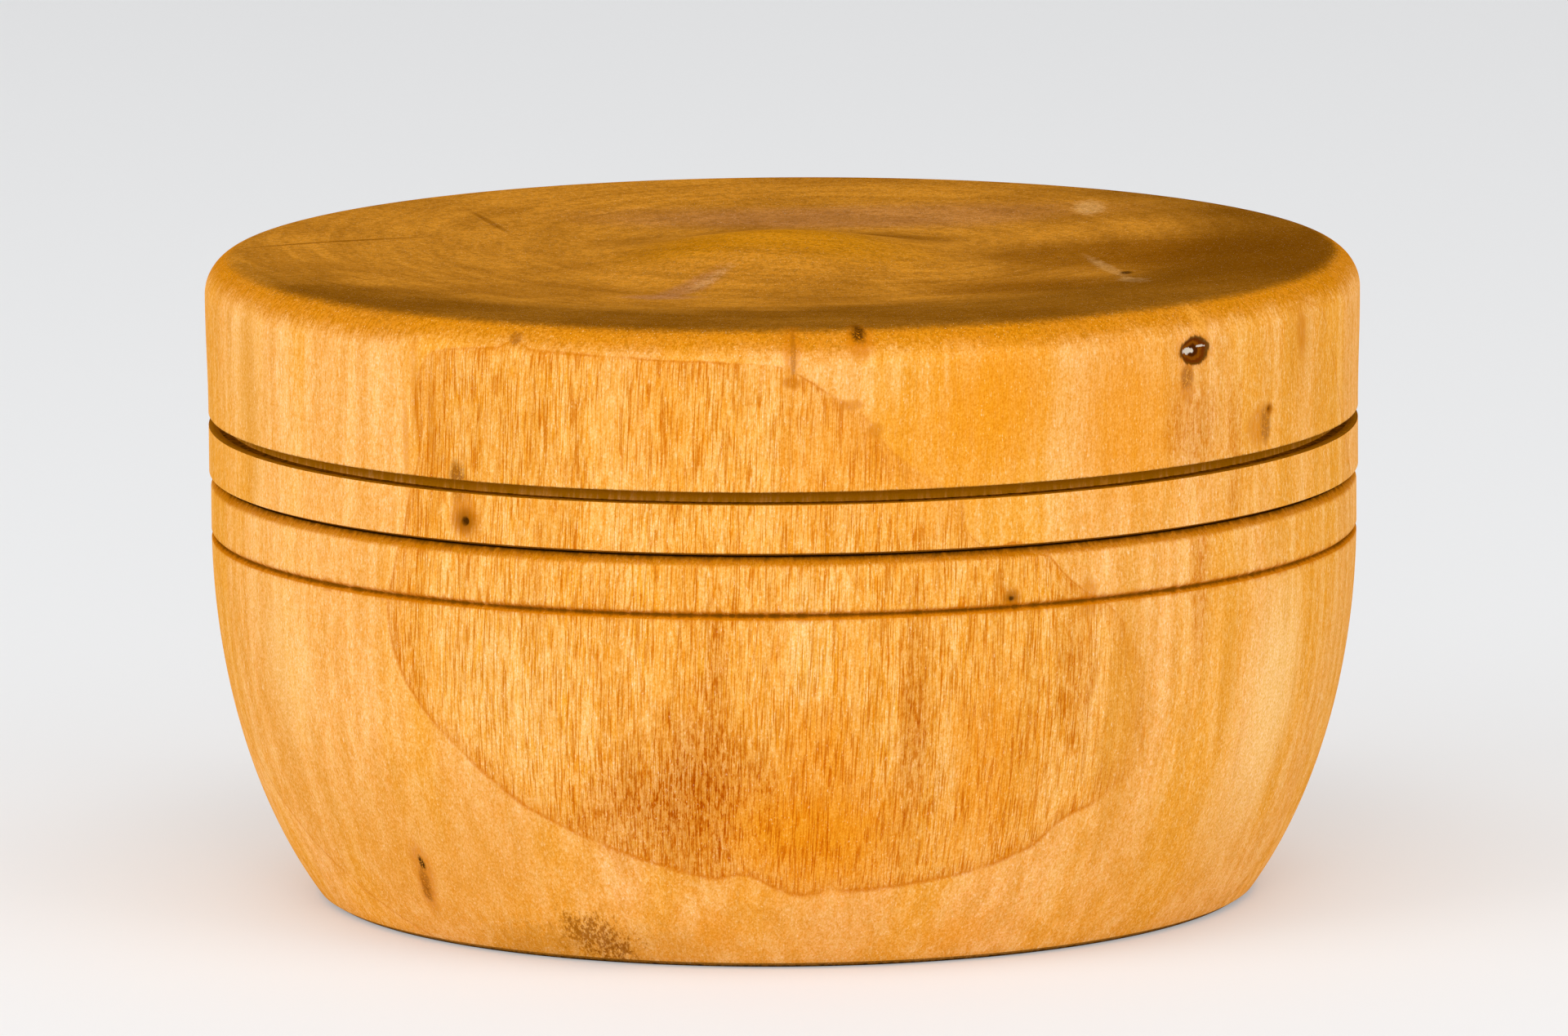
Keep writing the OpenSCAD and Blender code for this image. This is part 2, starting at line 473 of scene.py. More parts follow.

# Soft colour patches on the sides, the bowl's lowest three painted shade where the belly turns down: azimuth,
# height, half width, half height, colour and strength.
BOWL_PATCHES_AND_SHADE = [
    (-9, 17, 6.0, 9, DEEP_ORANGE, 0.55),
    (-17, 15, 5, 5, DEEP_ORANGE, 0.35),
    (-2, 16, 1.5, 5, DEEP_ORANGE, 0.4),
    (-7, 29, 1.8, 9, DEEP_ORANGE, 0.3),
    (13, 23, 1.8, 12, DEEP_ORANGE, 0.35),
    (21, 18, 5, 11, ORANGE, 0.6),
    (3, 13, 10, 7, ORANGE, 0.95),
    (2, 31, 2.0, 6, PALE, 0.7),
    (-28, 27, 8, 10, PALE, 0.35),
    (36, 22, 2.4, 14, OCHRE, 0.6),
    (45, 34, 1.6, 9, DEEP_ORANGE, 0.3),
    (50, 26, 1.6, 12, OCHRE, 0.4),
    (4, 21, 4, 5, ORANGE, 0.7),
    (30, 26, 1.4, 10, DEEP_ORANGE, 0.2),
    (56, 12, 6, 8, PALE, 0.35),
    (-9, 4, 3, 2, ORANGE, 0.5),
    (-30, 1.5, 8, 2.5, OLIVE, 0.4),
    (-16, 2, 8, 2.5, OLIVE, 0.25),
    (20, 3, 4, 2, ORANGE, 0.5),
    (-57, 12, 1.2, 5, OCHRE, 0.5),
    (-64, 20, 3, 16, OCHRE, 0.35),
    (59, 22, 5, 12, PALE, 0.7),
    (-60, 25, 5, 10, PALE, 0.4),
    # Painted shade: these three darken the belly low down, where it faces the floor.
    (-42, 9, 18, 12, OCHRE, 0.5),
    (46, 8, 16, 9, OCHRE, 0.35),
    (0, 3, 22, 4, OCHRE, 0.3),
]
LID_PATCHES = [
    (14, 47, 8, 8, ORANGE, 0.5),
    (21, 52, 7, 8, ORANGE, 0.85),
    (36, 49, 7, 9, ORANGE, 0.7),
    (7, 53.5, 3.5, 3.5, PALE, 0.1),
    (11, 55, 0.8, 4, PALE, 0.3),
    (-30, 48, 6, 8, OCHRE, 0.25),
    (-66, 51, 5, 10, PALE, 0.3),
    (4, 47, 5, 7, ORANGE, 0.4),
    (-12, 50, 6, 7, ORANGE, 0.25),
    (50, 44, 1.4, 8, DEEP_ORANGE, 0.25),
    (44, 47.5, 4, 5, DEEP_ORANGE, 0.3),
    (62, 54, 2.4, 6, OCHRE, 0.6),
    (-66, 48, 2.4, 14, OCHRE, 0.6),
]
# Small marks with crisper edges, in the same form; on the lid one is a painted highlight.
BOWL_MARKS = [
    (31, 33.5, 1.0, 2.2, DEEP_ORANGE, 0.5),
    (-43.8, 7.6, 1.3, 2.8, DEEP_ORANGE, 0.6),
    (-44.6, 5.0, 0.9, 2.0, DEEP_ORANGE, 0.5),
    (-44.1, 6.6, 0.65, 1.3, DEEP_BROWN, 0.6),
    (-44.6, 5.2, 0.5, 0.9, DEEP_BROWN, 0.7),
    (-43.6, 8.2, 0.4, 0.75, NEARLY_BLACK, 0.97),
]
LID_MARKS_AND_GLINT = [
    (43, 51.7, 0.9, 2.2, DEEP_ORANGE, 0.6),
    (43, 52.2, 0.8, 1.2, DEEP_BROWN, 0.6),
    (54, 46.4, 1.8, 2.2, DEEP_ORANGE, 0.5),
    (55.2, 46.7, 0.9, 1.9, DEEP_BROWN, 0.6),
    # A painted highlight on the rim above the big knot.
    (45, 57.0, 0.9, 1.6, GOLDEN, 0.5),
    (0.9, 57, 0.9, 3, DEEP_ORANGE, 0.5),
    (1, 56.8, 0.26, 3.2, DEEP_BROWN, 0.5),
    (0.8, 54.0, 0.9, 0.6, DEEP_ORANGE, 0.8),
    (6.5, 51.9, 1.3, 0.5, DEEP_ORANGE, 0.5),
    (8.9, 49.6, 0.8, 0.7, DEEP_ORANGE, 0.5),
    (7.5, 57.6, 1.3, 1.8, DEEP_ORANGE, 0.7),
    (7.5, 58.1, 0.8, 1.0, NEARLY_BLACK, 0.85),
    (-27, 57.2, 0.7, 0.6, RED_BROWN, 0.5),
    (-33.4, 44.2, 0.9, 1.8, DEEP_BROWN, 0.85),
    (-32.8, 41.8, 1.3, 2.4, DEEP_ORANGE, 0.6),
    (62, 54, 1.0, 2.2, DEEP_ORANGE, 0.5),
    (-39.6, 47, 0.4, 5, DEEP_ORANGE, 0.35),
    (-38.4, 52, 0.5, 5, DEEP_ORANGE, 0.3),
    (-36.4, 50, 0.5, 5, DEEP_ORANGE, 0.3),
]
# Specks of dark stain: azimuth, height, half width and half height.
BOWL_STAINS = [(-23, 2.9, 3.8, 2.6), (-20, 1.5, 2.4, 1.2)]
# Places where the ring line fades away, in the same form.
BOWL_FADES = [(38, 24, 6.5, 12)]
LID_FADES = [(17, 45.5, 6.5, 5)]
# Swellings of the rings near the wall: azimuth, height, half width, half height and amount.
BOWL_SWELLINGS = [
    (30.5, 35.5, 4, 3.5, -0.12),
    (39, 17, 3, 4, 0.17),
    (31, 12, 3, 3, -0.2),
    (1.5, 6.6, 2.5, 2.5, 0.16),
    (-4.5, 8.2, 2.2, 2.5, -0.3),
    (-35, 19, 8, 6, -0.06),
]
LID_SWELLINGS = [
    (-15.5, 55.5, 10, 3, -0.18),
    (-27, 56.8, 1.4, 2, 0.3),
    (0, 54, 4, 3, 0.12),
    (7, 51.5, 5, 4, 0.13),
    (19.5, 40, 3, 3, -0.35),
]
# Colour patches on the lid's top, with painted sheen and painted shade behind the dome's crest: x, y, half
# width, half length, turn, colour and strength.
TOP_PATCHES_SHEEN_AND_SHADE = [
    (-32, 8, 18, 22, 0, END_LIGHT, 0.7),
    (22, -20, 12, 7, 0, END_DARK, 0.6),
    (29, 1, 13, 11, 0, END_DARK, 0.7),
    (0, 40, 30, 8, 0, END_LIGHT, 0.8),
    (42, -6, 13, 20, 0, END_DARK, 0.7),
    # Painted sheen: the backdrop reflected on the dish beyond the dome.
    (6, 27, 26, 7, 0, PAINTED_END_SHEEN, 0.5),
    (-1, -2, 15, 11, 0, DOME_GOLD, 0.75),
    (-6, -13, 15, 8, 0, END_LIGHT, 0.9),
    # Painted shade on the back slope of the dome, behind its crest.
    (4, 12, 13, 4, 0, END_DARK, 0.7),
]
TOP_MARKS_AND_SHEEN = [
    (28.5, 28, 1.5, 4, 0, PALE, 0.3),
    (29.5, -9, 0.7, 9, 11, PALE, 0.22),
    (31, -13, 0.6, 1.2, 0, NEARLY_BLACK, 0.9),
    (31.5, -19, 1.2, 2.5, 20, PALE, 0.35),
    # Painted sheen in a light streak in front of the dome.
    (-8.3, -18, 1.6, 8, -23, PAINTED_END_SHEEN, 0.6),
    (-6.5, -15, 0.7, 5, -23, PALE, 0.15),
    # Painted sheen beside the dome's front.
    (-11, -24, 3.5, 2, 0, PAINTED_END_SHEEN, 0.6),
    (-41, 8, 0.35, 10, -58, END_DARK, 0.7),
    (-27, 23, 0.4, 6, 19, END_DARK, 0.6),
]
# Pin knots: azimuth, height, size of the dark middle and size of the halo round it.
BOWL_KNOTS = [(22.5, 34.0, 0.4, 1.6)]
LID_KNOTS = [(44.0, 54.4, 1.2, 1.9), (-32.5, 40.6, 0.6, 2.3), (55.8, 47.9, 0.3, 0.9)]
# Painted highlights on beads of resin in the middle of a knot: azimuth, height, half width and half height.
LID_RESIN_GLINTS = [(43.3, 54.4, 0.55, 0.28), (45.1, 54.7, 0.4, 0.12)]


def wall_point(azimuth, height):
    """Point on the outer wall, in millimetres."""
    radius = belly_radius(height) if height < JOINT_Z else LID_R
    angle = math.radians(azimuth)
    return (radius * math.sin(angle), -radius * math.cos(angle), height)


# The longest distance that nearness tells apart, as a share of the size that it measures in.
FAR = 5


def nearness(t, place, centre, turn, size):
    """Distance from centre as a share of size, which is (across, in depth, up) once turned about Z.

    It uses a spherical gradient because the length of a vector, taken for each of the lid's marks, can
    outgrow the renderer's stack, and then the whole lid turns black.
    """
    mapping = t.node("ShaderNodeMapping", {
        "Vector": place,
        "Location": centre,
        "Rotation": (0, 0, math.radians(turn)),
        "Scale": [length * FAR for length in size],
    }, vector_type="TEXTURE")
    ball = t.node("ShaderNodeTexGradient", {0: mapping.outputs[0]}, gradient_type="SPHERICAL")
    return FAR - Field(t, ball.outputs["Fac"]) * FAR


# Sizes of the wood's noises in millimetres: twice across the fibres, then along them.
FIGURE_SIZE = (9, 9, 70)
BAND_SIZE = (1.6, 1.6, 30)
CLUSTER_SIZE = (2.2, 2.2, 9.0)
MOTTLE_SIZE = (0.8, 0.8, 2.2)
RAGGED_SIZE = (0.5, 0.5, 6.0)
FLECK_SIZE = (0.3, 0.3, 0.9)
HAIR_SIZE = (0.1, 0.1, 1.4)
GRAIN_SIZE = (0.17, 0.17, 0.24)
WANDER_SIZE = (13, 13, 16)
# Sizes of those that follow the rings: round the pith, out from it and up.
VESSEL_SIZE = (0.13, 0.6, 2.2)
LONG_VESSEL_SIZE = (0.14, 0.7, 3.2)
RAY_SIZE = (0.8, 9, 40)
ARC_SIZE = (14, 1.3, 40)
# Sizes of those on the lid's top, along X, Y and Z.
CLOUD_SIZE = (13, 11, 40)
PORE_SIZE = (0.5, 0.5, 5)
# How far into the wood a patch, a mark and a faded stretch of ring line reach.
PATCH_DEPTH, MARK_DEPTH, FADE_DEPTH = 9, 4, 20
# How deep a top patch or mark is, from the dish.
TOP_DEPTH = 8
# A knot with a dark middle of this size or more is stretched across, and has a ring round its heart.
BIG_KNOT, KNOT_STRETCH = 1.0, 1.4


class Wood:
    """Oiled fruitwood as its material is built up: places in the blank, noises and the colour so far."""

    def __init__(self, name, turn, kerf, features):
        self.t = t = Tree(name)
        self.features = features
        metres = t.node("ShaderNodeTexCoord", {}).outputs["Object"]
        self.x, self.y, self.z = (m * (1 / MM) for m in t.parts(metres))
        self.here = t.vector(self.x, self.y, self.z)
        self.radius = t.length(self.x, self.y)
        self.normal = t.parts(t.node("ShaderNodeNewGeometry", {}).outputs["True Normal"])
        blank_x = self.x * math.cos(turn) - self.y * math.sin(turn)
        blank_y = self.x * math.sin(turn) + self.y * math.cos(turn)
        blank_z = self.z + kerf
        self.grown = (blank_x - blank_z * PITH_LEAN[0], blank_y - blank_z * PITH_LEAN[1], blank_z)
        self.fibre = (blank_x - blank_z * FIBRE_LEAN[0], blank_y - blank_z * FIBRE_LEAN[1], blank_z)
        self.add_noises()
        self.add_rings()

    def near(self, place, azimuth, height, half_w, depth, half_h):
        """Distance from a point on the wall, as a share of the half sizes given."""
        return nearness(self.t, place, wall_point(azimuth, height), azimuth, (half_w, depth, half_h))

    def paint(self, amount, tint, mode="MIX"):
        """Lays a tint over the colour so far."""
        self.colour = self.t.blend(amount, self.colour, tint, mode)

    def add_noises(self):
        """Noises that follow the fibres, and the place that they shift a soft patch's edge to."""
        t = self.t
        self.figure = t.noise(self.fibre, FIGURE_SIZE, 3.0)
        self.bands = t.noise(self.fibre, BAND_SIZE)
        self.clusters = t.noise(self.fibre, CLUSTER_SIZE)
        self.mottle = t.noise(self.fibre, MOTTLE_SIZE, 3.0, 0.65)
        self.ragged = t.noise(self.fibre, RAGGED_SIZE, 2.0, 0.6)
        self.flecks = t.noise(self.fibre, FLECK_SIZE, 2.0, 0.7)
        self.hairs = t.noise(self.fibre, HAIR_SIZE, 2.0, 0.6)
        self.grains = t.noise(self.fibre, GRAIN_SIZE, 2.0, 0.7)
        shift = t.vector(self.bands * 5 - 2.5, self.mottle * 2 - 1, self.ragged * 5 - 2.5)
        moved = t.node("ShaderNodeVectorMath", {0: self.here, 1: shift}, operation="ADD")
        self.warped = moved.outputs[0]

    def add_rings(self):
        """Distance from the pith, with the slow wander of real rings, and the lines between them."""
        t = self.t
        from_pith = (self.grown[0] - PITH[0], self.grown[1] - PITH[1])
        wander = t.noise(self.grown, WANDER_SIZE) - 0.5
        distance = t.length(*from_pith) + wander * 0.25
        for azimuth, height, half_w, half_h, amount in self.features["swellings"]:
            away = self.near(self.here, azimuth, height, half_w, PATCH_DEPTH, half_h)
            distance = distance + away.between(1.3, 0.2) * amount
        facing = (from_pith[0] * self.normal[0] + from_pith[1] * self.normal[1]) / distance
        slope = (1 - facing * facing).math("MAXIMUM", 0.004).math("SQRT")
        ring = (distance - RING_R) / RING_W
        self.phase = ring.math("FRACT")
        to_line = (self.phase - self.phase.math("ROUND")).math("ABSOLUTE") * RING_W / slope
        first_ring = ring.math("ABSOLUTE").between(0.5, 0.4)
        kept = 1.0
        for azimuth, height, half_w, half_h in self.features["fades"]:
            kept = self.near(self.here, azimuth, height, half_w, FADE_DEPTH, half_h).between(0.5, 1.3) * kept
        line = (to_line + self.mottle * 0.4).between(0.5, 0.15) * self.clusters.between(0.25, 0.55)
        self.ring_line = line * kept * (0.5 + first_ring * 0.3)
        self.streaky = (ring + self.ragged * 0.01).between(0.0, 0.01)
        self.ring_edge = ring.between(0.05, 0.0) * self.streaky
        self.open_wood = 0.14 + self.streaky * (0.2 + kept * 0.66)
        around = t.math("ARCTAN2", self.fibre[1] - PITH[1], self.fibre[0] - PITH[0]) * RING_R
        self.along = (around, distance, self.z)

    def paint_figure(self):
        """The wood's broad colours, its bands and its flecks."""
        self.colour = self.t.blend(self.figure.between(0.38, 0.62), PEACH, GOLDEN)
        self.paint(self.phase.between(0.9, 0.3) * (1 - self.streaky) * 0.2, OCHRE)
        self.paint(self.streaky * 0.8, STREAKY)
        self.paint(self.bands.between(0.45, 0.65) * 0.42, OCHRE)
        self.paint(self.bands.between(0.5, 0.35) * 0.35, PALE)
        self.paint(self.mottle.between(0.45, 0.75) * 0.35, OCHRE)
        self.paint(self.flecks.between(0.5, 0.7) * 0.5, ORANGE)
        self.paint(self.flecks.between(0.5, 0.3) * 0.45, PALE)

    def paint_patches(self):
        """Soft patches of colour, on the bowl some painted shade low on the belly. The deepest ones are
        soaked with oil too.
        """
        self.soaked = 0.0
        for azimuth, height, half_w, half_h, tint, strength in self.features["patches"]:
            away = self.near(self.warped, azimuth, height, half_w, PATCH_DEPTH, half_h)
            amount = away.between(1.3, 0.2) * strength
            self.paint(amount, tint)
            if tint == DEEP_ORANGE:
                self.soaked = amount * 1.7 + self.soaked
        self.paint(self.ring_edge * 0.22, RING_LINE)

    def paint_vessels(self):
        """Vessels cut into streaks, long ones where the wall follows the fibres, and the ring lines."""
        vessels = self.t.noise(self.along, VESSEL_SIZE, 1.0)
        long_vessels = self.t.noise(self.along, LONG_VESSEL_SIZE, 0.0)
        crowded = 0.7 + self.clusters.between(0.35, 0.65) * 0.3
        self.streaks = vessels.between(0.46, 0.62) * crowded * self.open_wood
        self.strong = long_vessels.between(0.54, 0.66) * self.clusters.between(0.25, 0.5) * self.open_wood
        self.paint(self.streaks * 0.9, VESSEL, "MULTIPLY")
        self.paint(self.strong * 0.75, DARK_VESSEL, "MULTIPLY")
        speckle = (self.flecks * 0.6 + vessels * 0.4).between(0.5, 0.58)
        self.paint(self.soaked * speckle, DARK_VESSEL, "MULTIPLY")
        self.paint(self.ring_line, RING_LINE)

    def end_colour(self, clouds):
        """Colour of end grain, which drinks more oil: rings, faint rays, patches with painted sheen and
        shade, and a rim darker towards the front and right.
        """
        t = self.t
        rays = t.noise(self.along, RAY_SIZE, 2.0, 0.6)
        arcs = t.noise(self.along, ARC_SIZE, 3.0, 0.6)
        pores = t.noise((self.x, self.y, self.z), PORE_SIZE, 2.0, 0.6)
        end = t.blend(clouds.between(0.35, 0.65) * 0.4, END_LIGHT, END_DARK)
        end = t.blend(rays.between(0.5, 0.75) * 0.15, end, END_DARK)
        for centre_x, centre_y, half_w, half_l, angle, tint, strength in self.features["top_patches_sheen_and_shade"]:
            away = nearness(t, self.warped, (centre_x, centre_y, DISH_Z), angle, (half_w, half_l, TOP_DEPTH))
            end = t.blend((away + (clouds + rays) * 0.5 - 0.5).between(1.2, 0.4) * strength, end, tint)
        for centre_x, centre_y, half_w, half_l, angle, tint, strength in self.features["top_marks_and_sheen"]:
            away = nearness(t, self.here, (centre_x, centre_y, DISH_Z), angle, (half_w, half_l, TOP_DEPTH))
            end = t.blend((away + pores - 0.5).between(1.3, 0.5) * strength, end, tint)
        end = t.blend(self.phase.between(0.35, 0.95) * 0.14, end, END_DARK)
        end = t.blend(arcs.between(0.4, 0.65) * 0.24, end, END_DARK)
        forward = self.radius - self.y * 0.25 + self.x * 0.18
        end = t.blend((forward + clouds * 8 - 4).between(36, 50) * 0.65, end, RIM_DARK)
        return t.blend(pores.between(0.4, 0.7) * 0.35, end, RIM_DARK)

    def paint_end_grain(self):
        """An orange band round the edge that darkens as the edge turns up, then end grain on all that faces
        up or down.
        """
        clouds = self.t.noise((self.x, self.y, self.z), CLOUD_SIZE)
        end = self.end_colour(clouds)
        upward = self.normal[2] + self.ragged * 0.5 - 0.25
        worn = upward + clouds * 0.5 - 0.25
        self.paint(worn.between(0.1, 0.72) * 0.92, EDGE_ORANGE)
        self.paint(worn.between(0.2, 0.7) * self.flecks.between(0.46, 0.62) * 0.3, END_DARK)
        self.paint(worn.between(0.8, 1.05) * 0.3, END_DARK)
        self.paint((upward - self.ragged * 0.4 + 0.2).between(0.84, 1.0), end)
        self.paint(self.normal[2].between(-0.7, -0.9), end)

    def paint_fine_grain(self):
        """Fine grain, which is a change of richness more than of brightness, with painted highlights as
        bright glints.
        """
        shade = 0.22 + self.hairs * 0.5 + self.grains * 1.06
        rich = self.t.vector(shade.math("POWER", 0.45), shade, shade.math("POWER", 3.4))
        self.paint(1.0, rich, "MULTIPLY")
        # Painted highlights: bright glints scattered over the grain.
        self.paint((self.grains * self.hairs).between(0.36, 0.46) * 0.5, PAINTED_GLINT)

    def paint_marks(self):
        """Small marks with crisper edges, one of them a painted highlight."""
        for azimuth, height, half_w, half_h, tint, strength in self.features["marks"]:
            away = self.near(self.here, azimuth, height, half_w, MARK_DEPTH, half_h) + self.mottle - 0.5
            self.paint(away.between(1.25, 0.5) * strength * self.grains.between(0.3, 0.5), tint)

    def paint_stains(self):
        """Stains that show as dark specks."""
        for azimuth, height, half_w, half_h in self.features["stains"]:
            away = self.near(self.warped, azimuth, height, half_w, MARK_DEPTH, half_h)
            crowd = self.flecks + away.between(1.3, 0.0) * 0.2
            specks = crowd.between(0.55, 0.72) * away.between(1.3, 0.6)
            self.paint((specks + away.between(1.2, 0.2) * 0.3) * 0.6, DEEP_BROWN)

    def paint_knots(self):
        """Pin knots: a halo round a dark middle, which in a big knot is a ring of bark round dead wood."""
        for azimuth, height, dark, halo in self.features["knots"]:
            wide = dark * KNOT_STRETCH if dark >= BIG_KNOT else dark
            rim = self.near(self.here, azimuth, height, wide, MARK_DEPTH, dark) + (self.mottle - 0.5) * 0.8
            self.paint(rim.between(halo / dark, 0.9) * 0.65, DEEP_ORANGE)
            if dark < BIG_KNOT:
                self.paint(rim.between(2.6, 0.5) * 0.7, DEEP_BROWN)
                self.paint(rim.between(0.9, 0.3) * 0.8, NEARLY_BLACK)
                continue
            self.paint(rim.between(1.2, 1.0) * 0.8, NEARLY_BLACK)
            self.paint(rim.between(1.0, 0.8) * 0.9, RED_BROWN)
            self.paint(rim.between(0.75, 0.6) * rim.between(0.4, 0.5) * 0.7, DEEP_BROWN)
            self.paint(rim.between(0.55, 0.3) * 0.6, NEARLY_BLACK)

    def paint_resin_glints(self):
        """Painted highlights on beads of resin."""
        for azimuth, height, half_w, half_h in self.features["resin"]:
            away = self.near(self.here, azimuth, height, half_w, MARK_DEPTH, half_h)
            self.paint((away + (self.flecks - 0.5) * 2).between(1.1, 0.8) * 0.9, RESIN_GLINT)

    def paint_grooves_and_shade(self):
        """Burnt and oil-dark grooves, painted shade in the slot and the seam and a painted contact shadow at
        the foot, with ragged edges.
        """
        for groove_z, reach, wall_r, inner_r, tint, strength in self.features["grooves"]:
            off = (self.z - groove_z).math("ABSOLUTE") + (self.ragged - 0.25) * reach * 1.6
            inside = self.radius.between(wall_r + 0.03, wall_r - 0.07)
            outside = self.radius.between(inner_r - 0.2, inner_r + 0.1)
            self.paint(off.between(reach * 1.4, reach * 0.4) * inside * outside * strength, tint)

    def set_surface(self):
        """Hands the colour, roughness and relief to the shader."""
        t = self.t
        t.shader.inputs["Specular IOR Level"].default_value = WOOD_GLOSS
        t.feed(t.shader.inputs["Base Color"], self.colour)
        t.feed(t.shader.inputs["Roughness"], 0.5 + self.mottle * 0.12)
        relief = self.hairs * 0.6 + self.grains * 0.5 - self.streaks * 0.8 - self.strong
        bump = t.node("ShaderNodeBump", {"Height": relief, "Strength": 0.3, "Distance": 0.0002})
        t.feed(t.shader.inputs["Normal"], bump.outputs[0])


def wood_material(name, turn, kerf, features):
    """Oiled fruitwood cut from one blank: turn and kerf say where in it the piece was."""
    wood = Wood(name, turn, kerf, features)
    wood.paint_figure()
    wood.paint_patches()
    wood.paint_vessels()
    wood.paint_end_grain()
    wood.paint_fine_grain()
    wood.paint_marks()
    wood.paint_stains()
    wood.paint_knots()
    wood.paint_resin_glints()
    wood.paint_grooves_and_shade()
    wood.set_surface()
    return wood.t.material


def soap_material():
    """Hard cream soap with lather dried in the brush's swirls."""
    t = Tree("hard_soap")
    x, y, z = (m * (1 / MM) for m in t.parts(t.node("ShaderNodeTexCoord", {}).outputs["Object"]))
    radius = t.length(x, y)
    turn = t.math("ARCTAN2", x, y)
    swept = (radius, turn * 6, z)
    clouds = t.noise((x, y, z), (9, 9, 9), 3.0)
    strokes = t.noise(swept, (1.2, 7, 9), 3.0, 0.6)
    bubbles = t.noise((x, y, z), (0.5, 0.5, 0.5), 2.0)
    specks = t.noise((x, y, z), (1.1, 1.1, 1.1), 3.0, 0.6)
    colour = t.blend(clouds.between(0.35, 0.65), SOAP_CREAM, SOAP_DEEP)
    colour = t.blend(strokes.between(0.45, 0.65) * 0.5, colour, SOAP_DEEP)
    dried = (strokes * 0.5 + clouds * 0.5).between(0.5, 0.38) * radius.between(38, 30)
    colour = t.blend(dried * 0.8, colour, LATHER)
    colour = t.blend((bubbles * dried).between(0.55, 0.7) * 0.4, colour, SOAP_DEEP)
    colour = t.blend(radius.between(34, 37.5) * 0.5, colour, SOAP_DEEP)
    t.feed(t.shader.inputs["Base Color"], colour)
    t.feed(t.shader.inputs["Roughness"], 0.38 + dried * 0.3 + specks * 0.15)
    relief = strokes * 0.6 + specks * 0.3 + bubbles * dried * 0.6
    bump = t.node("ShaderNodeBump", {"Height": relief, "Strength": 0.4, "Distance": 0.0004})
    t.feed(t.shader.inputs["Normal"], bump.outputs[0])
    return t.material


# Burnt and oil-dark grooves, with painted shade in the slot and the seam and a painted contact shadow at the
# foot: height, reach either side, the radii they lie between, colour and strength.
SLOT_FLOOR_R = LID_EDGE_R - SLOT_DEPTH
JOINT_VEE_R = BOWL_R - JOINT_VEE_DEPTH
FOOT_R = belly_radius(0)
LID_GROOVES_AND_SHADE = [
    (SLOT_Z + SLOT_H, 0.16, LID_EDGE_R + 0.1, SLOT_FLOOR_R, BURNT, 0.6),
    # The slot's floor: darker partly from oil and partly as painted shade in the recess.
    (SLOT_Z + 0.6, 2.0, LID_EDGE_R - 0.1, SLOT_FLOOR_R - 0.2, SLOT_FLOOR, 1.0),
    # A painted shadow on the slot's lower ledge.
    (SLOT_Z - 0.04, 0.08, LID_EDGE_R - 0.8, SLOT_FLOOR_R - 0.2, NEARLY_BLACK, 1.0),
    (JOINT_Z, 0.45, LID_EDGE_R + 0.1, JOINT_VEE_R - 0.4, BURNT, 0.85),
]
BOWL_GROOVES_AND_SHADE = [
    # A painted contact shadow along the foot's bottom edge.
    (0.0, 0.42, BOWL_R + 0.1, FOOT_R - 0.6, NEARLY_BLACK, 0.97),
    (VEE_Z, 0.75, BOWL_R + 0.1, BOWL_R - VEE_DEPTH - 0.3, DEEP_ORANGE, 0.9),
    (VEE_Z, 0.28, BOWL_R + 0.1, BOWL_R - VEE_DEPTH - 0.3, BURNT, 0.95),
    (JOINT_Z, 1.05, BOWL_R + 0.1, JOINT_VEE_R - 0.4, DEEP_ORANGE, 0.85),
    (JOINT_Z, 0.45, BOWL_R + 0.1, JOINT_VEE_R - 0.4, BURNT, 0.9),
    # A painted shadow in the seam between bowl and lid.
    (JOINT_Z, 0.12, BOWL_R + 0.1, JOINT_VEE_R - 0.4, NEARLY_BLACK, 0.7),
]
BOWL_FEATURES = {
    "grooves": BOWL_GROOVES_AND_SHADE,
    "patches": BOWL_PATCHES_AND_SHADE,
    "marks": BOWL_MARKS,
    "stains": BOWL_STAINS,
    "swellings": BOWL_SWELLINGS,
    "fades": BOWL_FADES,
    "resin": [],
    "knots": BOWL_KNOTS,
    "top_patches_sheen_and_shade": [],
    "top_marks_and_sheen": [],
}
LID_FEATURES = {
    "grooves": LID_GROOVES_AND_SHADE,
    "patches": LID_PATCHES,
    "marks": LID_MARKS_AND_GLINT,
    "stains": [],
    "swellings": LID_SWELLINGS,
    "fades": LID_FADES,
    "resin": LID_RESIN_GLINTS,
    "knots": LID_KNOTS,
    "top_patches_sheen_and_shade": TOP_PATCHES_SHEEN_AND_SHADE,
    "top_marks_and_sheen": TOP_MARKS_AND_SHEEN,
}
bowl.data.materials.append(wood_material("bowl_wood", 0.0, 0.0, BOWL_FEATURES))
lid.data.materials.append(wood_material("lid_wood", -LID_TURN, KERF, LID_FEATURES))
soap.data.materials.append(soap_material())

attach(bowl, "bowl")
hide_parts("bowl")
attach(lid, "lid")
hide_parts("lid")
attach(soap, "bowl")
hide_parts("soap_puck")

# ---------------------------------------------------------------- floor, lights and camera
FLOOR_FRONT, FLOOR_BACK, SWEEP_R, WALL_H, FLOOR_HALF_W = -2500, 2400, 500, 1500, 3000
PAPER_GREY, PAPER_GLOW = 0.61, 0.27
# Soft boxes, in metres and watts: name, place, what it points at, width, height and power.
MIDDLE = (0, 0, 0.03)
LIGHTS = [
    ("softbox_left", (-1.3, -0.7, 0.55), MIDDLE, 1.0, 0.9, 8.3),
    ("softbox_right", (1.3, -0.7, 0.55), MIDDLE, 1.0, 0.9, 6.0),
    ("fill_front", (0, -2.0, 0.7), MIDDLE, 1.2, 0.5, 8),
    ("overhead", (0, -0.45, 1.3), (0, -0.1, 0), 1.2, 0.7, 6.5),
]
SURROUND_COLOUR, SURROUND_STRENGTH = (0.95, 0.97, 1.0, 1), 0.49


